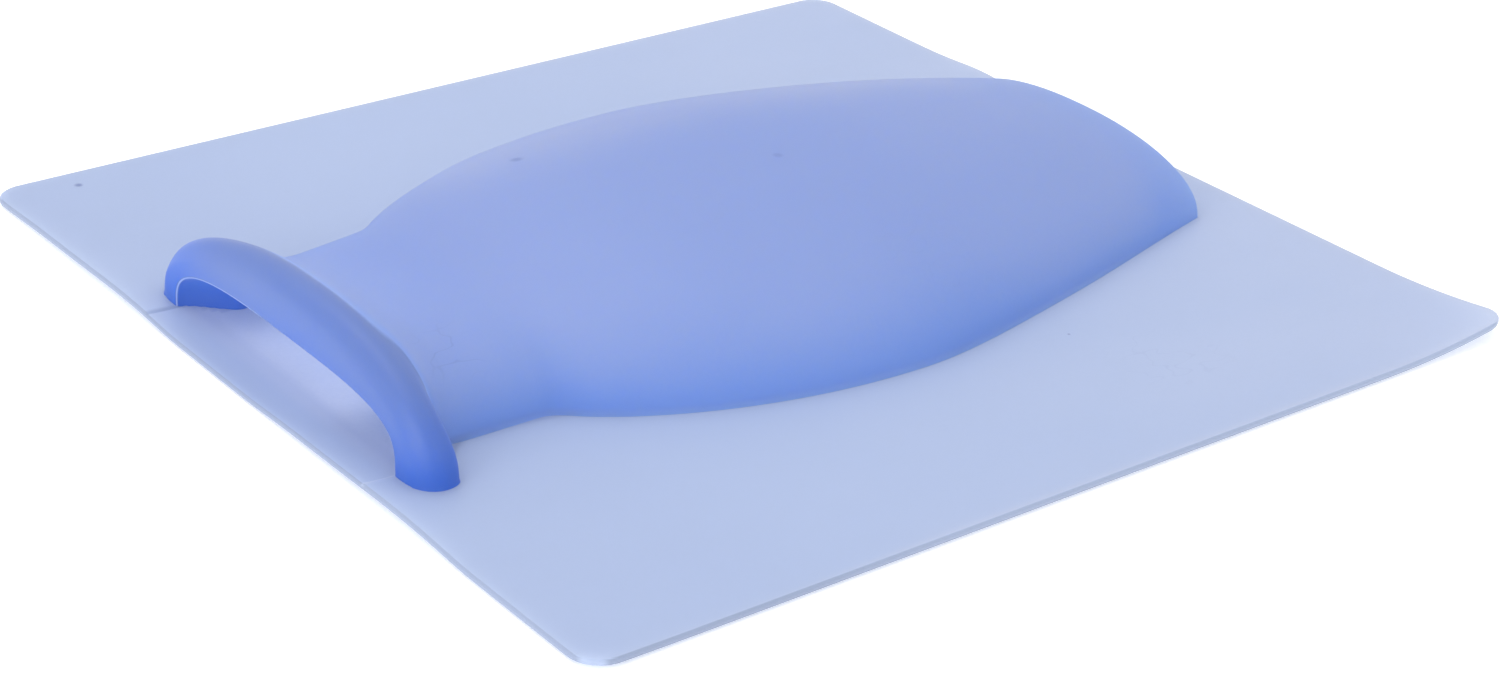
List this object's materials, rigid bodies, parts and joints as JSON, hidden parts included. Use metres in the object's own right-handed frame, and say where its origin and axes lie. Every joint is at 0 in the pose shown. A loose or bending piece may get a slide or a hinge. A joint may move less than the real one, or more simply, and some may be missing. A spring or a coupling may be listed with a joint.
{
  "type": "mortar hawk",
  "caption": "Square flexible plastic mortar board with a hand pocket on its back: a rolled mouth, a narrow neck and a low palm vault open at the finger end.",
  "frame": {"origin": "middle of the board's flat underside, the face that carries the mortar", "axes": "+Z out of the board on the pocket side; +X along the hand, from the mouth of the pocket towards the fingers; +Y across the hand"},
  "size_m": [0.3, 0.3, 0.0334],
  "materials": {
    "sheet": "satin",
    "pocket": "satin",
    "lip": "satin"
  },
  "bodies": {
    "root": {"board": "sheet", "mouth_lip": "lip", "neck_sleeve": "pocket", "palm_vault": "pocket"}
  },
  "joints": []
}
